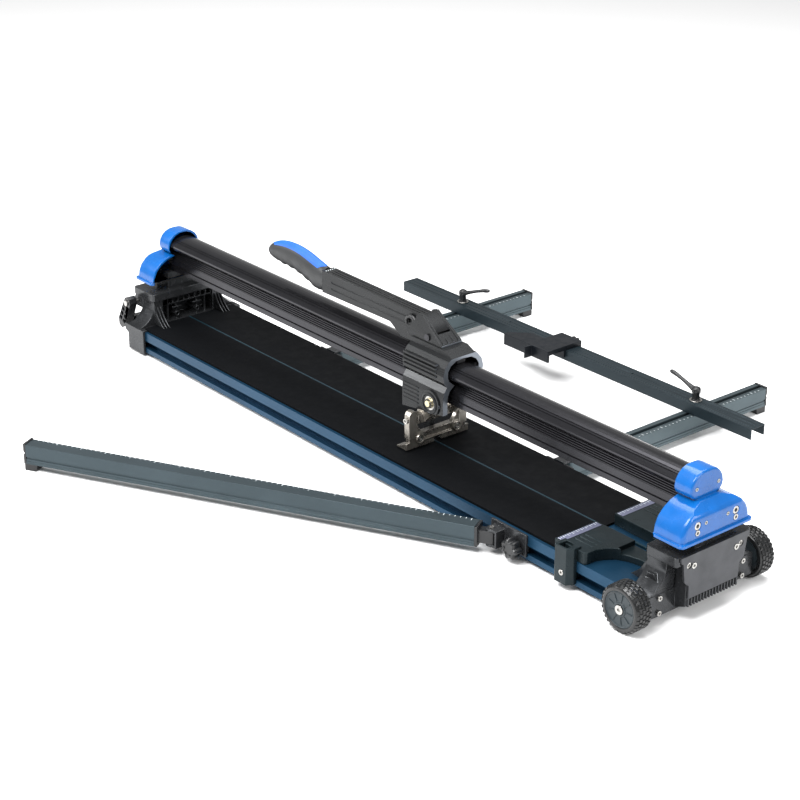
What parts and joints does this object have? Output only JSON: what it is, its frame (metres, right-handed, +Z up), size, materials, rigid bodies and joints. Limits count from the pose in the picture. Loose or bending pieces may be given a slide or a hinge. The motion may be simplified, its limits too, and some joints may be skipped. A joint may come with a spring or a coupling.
{
  "type": "tile cutter",
  "caption": "Manual tile cutter on a wheeled base with a single rail, lever carriage, scoring wheel, breaker foot, folding support arms and a measuring fence.",
  "frame": {"origin": "on the ground under the middle of the base, on the underside of the middle rubber strip", "axes": "+X along the rail towards the wheels, +Y across the base towards the fence, +Z up"},
  "size_m": [1.5766, 1.25, 0.323],
  "materials": {
    "blue_anodised": "blue anodised extrusion",
    "dark_anodised": "charcoal anodised extrusion",
    "rail_anodised": "dark grey anodised extrusion",
    "pad_rubber": "matt black rubber",
    "steel": "zinc plated",
    "dark_casting": "dark painted die casting",
    "raw_casting": "raw die casting",
    "grey_plate": "grey painted plate",
    "blue_gloss": "glossy blue moulding",
    "screw_steel": "zinc plated",
    "black_screw": "black oxide",
    "tyre_rubber": "black rubber",
    "black_plastic": "black moulded nylon",
    "nylon": "black nylon",
    "blue_rubber": "blue soft moulding",
    "carbide": "coated carbide",
    "silver_anodised": "blue-grey anodised extrusion",
    "fence_anodised": "grey anodised channel",
    "stop_casting": "grey die casting"
  },
  "bodies": {
    "base": {"base_profile": "blue_anodised", "front_pad": "pad_rubber", "rear_pad": "pad_rubber", "breaking_ridge": "steel", "base_feet": "pad_rubber", "rail": "rail_anodised", "near_support": "dark_casting", "far_support": "dark_casting", "near_face_plate": "grey_plate", "near_rail_cap": "blue_gloss", "far_rail_cap": "blue_gloss", "socket_screws": "screw_steel", "rail_bolts": "black_screw", "axle_bolts": "steel", "front_gauge_plate": "dark_casting", "rear_gauge_plate": "dark_casting", "stop_block": "dark_casting", "stop_block_screw": "screw_steel", "rear_arm_brackets": "dark_casting", "rear_arm_pins": "steel", "handle_pins": "steel"},
    "left_wheel": {"left_hub": "black_plastic", "left_tyre": "tyre_rubber"},
    "right_wheel": {"right_hub": "black_plastic", "right_tyre": "tyre_rubber"},
    "carriage": {"carriage_profile": "dark_anodised", "handle_bracket": "dark_anodised", "guide_pads": "nylon", "pivot_bearings": "steel", "pivot_bolts": "steel", "lever_axle": "steel", "latch_hooks": "black_plastic"},
    "handle": {"lever_arm": "dark_anodised", "hand_grip": "black_plastic", "grip_insert": "blue_rubber"},
    "foot": {"foot_yoke": "raw_casting", "breaker_foot": "raw_casting", "foot_screws": "screw_steel", "wheel_holder": "dark_casting", "scoring_axle": "steel"},
    "cutter": {"scoring_wheel": "carbide"},
    "front_bracket": {"arm_bracket": "dark_casting", "bracket_nut": "steel", "front_arm_pin": "steel"},
    "front_knob": {"bracket_knob": "black_plastic"},
    "front_support_arm": {"front_arm": "silver_anodised", "front_arm_hinge": "black_plastic", "front_arm_cap": "black_plastic"},
    "near_support_arm": {"near_rear_arm": "silver_anodised", "near_rear_arm_cap": "black_plastic"},
    "far_support_arm": {"far_rear_arm": "silver_anodised", "far_rear_arm_cap": "black_plastic"},
    "fence_slider": {"near_fence_nut": "steel"},
    "fence": {"fence_bar": "fence_anodised", "far_fence_nut": "steel"},
    "near_clamp": {"near_clamp_lever": "black_plastic"},
    "far_clamp": {"far_clamp_lever": "black_plastic"},
    "side_stop": {"lateral_stop": "stop_casting"},
    "side_stop_knob": {"stop_knob": "black_plastic"},
    "carry_handle": {"pull_handle": "black_plastic"}
  },
  "joints": [
    {"name": "carriage_slide", "type": "slide", "parent": "base", "child": "carriage", "axis": [1, 0, 0], "range_m": [-0.7, 0.42]},
    {"name": "handle_lift", "type": "hinge", "parent": "carriage", "child": "handle", "pos_m": [0.1, 0, 0.268], "axis": [0, 1, 0], "range_deg": [0, 55]},
    {"name": "foot_tilt", "type": "hinge", "parent": "carriage", "child": "foot", "pos_m": [0.136, 0, 0.16], "axis": [0, 1, 0], "range_deg": [0, 8.25]},
    {"name": "cutter_spin", "type": "hinge", "parent": "foot", "child": "cutter", "pos_m": [0.075, 0, 0.0715], "axis": [0, 1, 0], "continuous": true},
    {"name": "left_wheel_spin", "type": "hinge", "parent": "base", "child": "left_wheel", "pos_m": [0.723, -0.144, 0.042], "axis": [0, 1, 0], "continuous": true},
    {"name": "right_wheel_spin", "type": "hinge", "parent": "base", "child": "right_wheel", "pos_m": [0.723, 0.144, 0.042], "axis": [0, 1, 0], "continuous": true},
    {"name": "front_bracket_slide", "type": "slide", "parent": "base", "child": "front_bracket", "axis": [1, 0, 0], "range_m": [-0.18, 0.06]},
    {"name": "front_knob_turn", "type": "hinge", "parent": "front_bracket", "child": "front_knob", "pos_m": [0.448, -0.13, 0.027], "axis": [0, 1, 0], "range_deg": [0, 360]},
    {"name": "front_arm_swing", "type": "hinge", "parent": "front_bracket", "child": "front_support_arm", "pos_m": [0.402, -0.137, 0.032], "axis": [0, 0, 1], "range_deg": [-28, 61]},
    {"name": "near_arm_swing", "type": "hinge", "parent": "base", "child": "near_support_arm", "pos_m": [0.298, 0.141, 0.033], "axis": [0, 0, 1], "range_deg": [0, 60]},
    {"name": "far_arm_swing", "type": "hinge", "parent": "base", "child": "far_support_arm", "pos_m": [-0.368, 0.141, 0.033], "axis": [0, 0, 1], "range_deg": [0, 60]},
    {"name": "fence_slide", "type": "slide", "parent": "near_support_arm", "child": "fence_slider", "axis": [0, 1, 0], "range_m": [-0.15, 0.12]},
    {"name": "fence_turn", "type": "hinge", "parent": "fence_slider", "child": "fence", "pos_m": [0.298, 0.474, 0.06], "axis": [0, 0, 1], "range_deg": [-60, 0]},
    {"name": "near_clamp_turn", "type": "hinge", "parent": "fence_slider", "child": "near_clamp", "pos_m": [0.298, 0.474, 0.08], "axis": [0, 0, 1], "range_deg": [-90, 90]},
    {"name": "far_clamp_turn", "type": "hinge", "parent": "fence", "child": "far_clamp", "pos_m": [-0.368, 0.474, 0.08], "axis": [0, 0, 1], "range_deg": [-90, 90]},
    {"name": "side_stop_slide", "type": "slide", "parent": "fence", "child": "side_stop", "axis": [1, 0, 0], "range_m": [-0.25, 0.28]},
    {"name": "side_stop_knob_turn", "type": "hinge", "parent": "side_stop", "child": "side_stop_knob", "pos_m": [-0.063, 0.51, 0.067], "axis": [0, 1, 0], "range_deg": [0, 360]},
    {"name": "carry_handle_swing", "type": "hinge", "parent": "base", "child": "carry_handle", "pos_m": [-0.765, 0, 0.095], "axis": [0, 1, 0], "range_deg": [0, 100]}
  ],
  "couplings": [
    {"joint": "foot_tilt", "follows": "handle_lift", "ratio": 0.15},
    {"joint": "far_arm_swing", "follows": "near_arm_swing", "ratio": 1},
    {"joint": "fence_turn", "follows": "near_arm_swing", "ratio": -1}
  ]
}
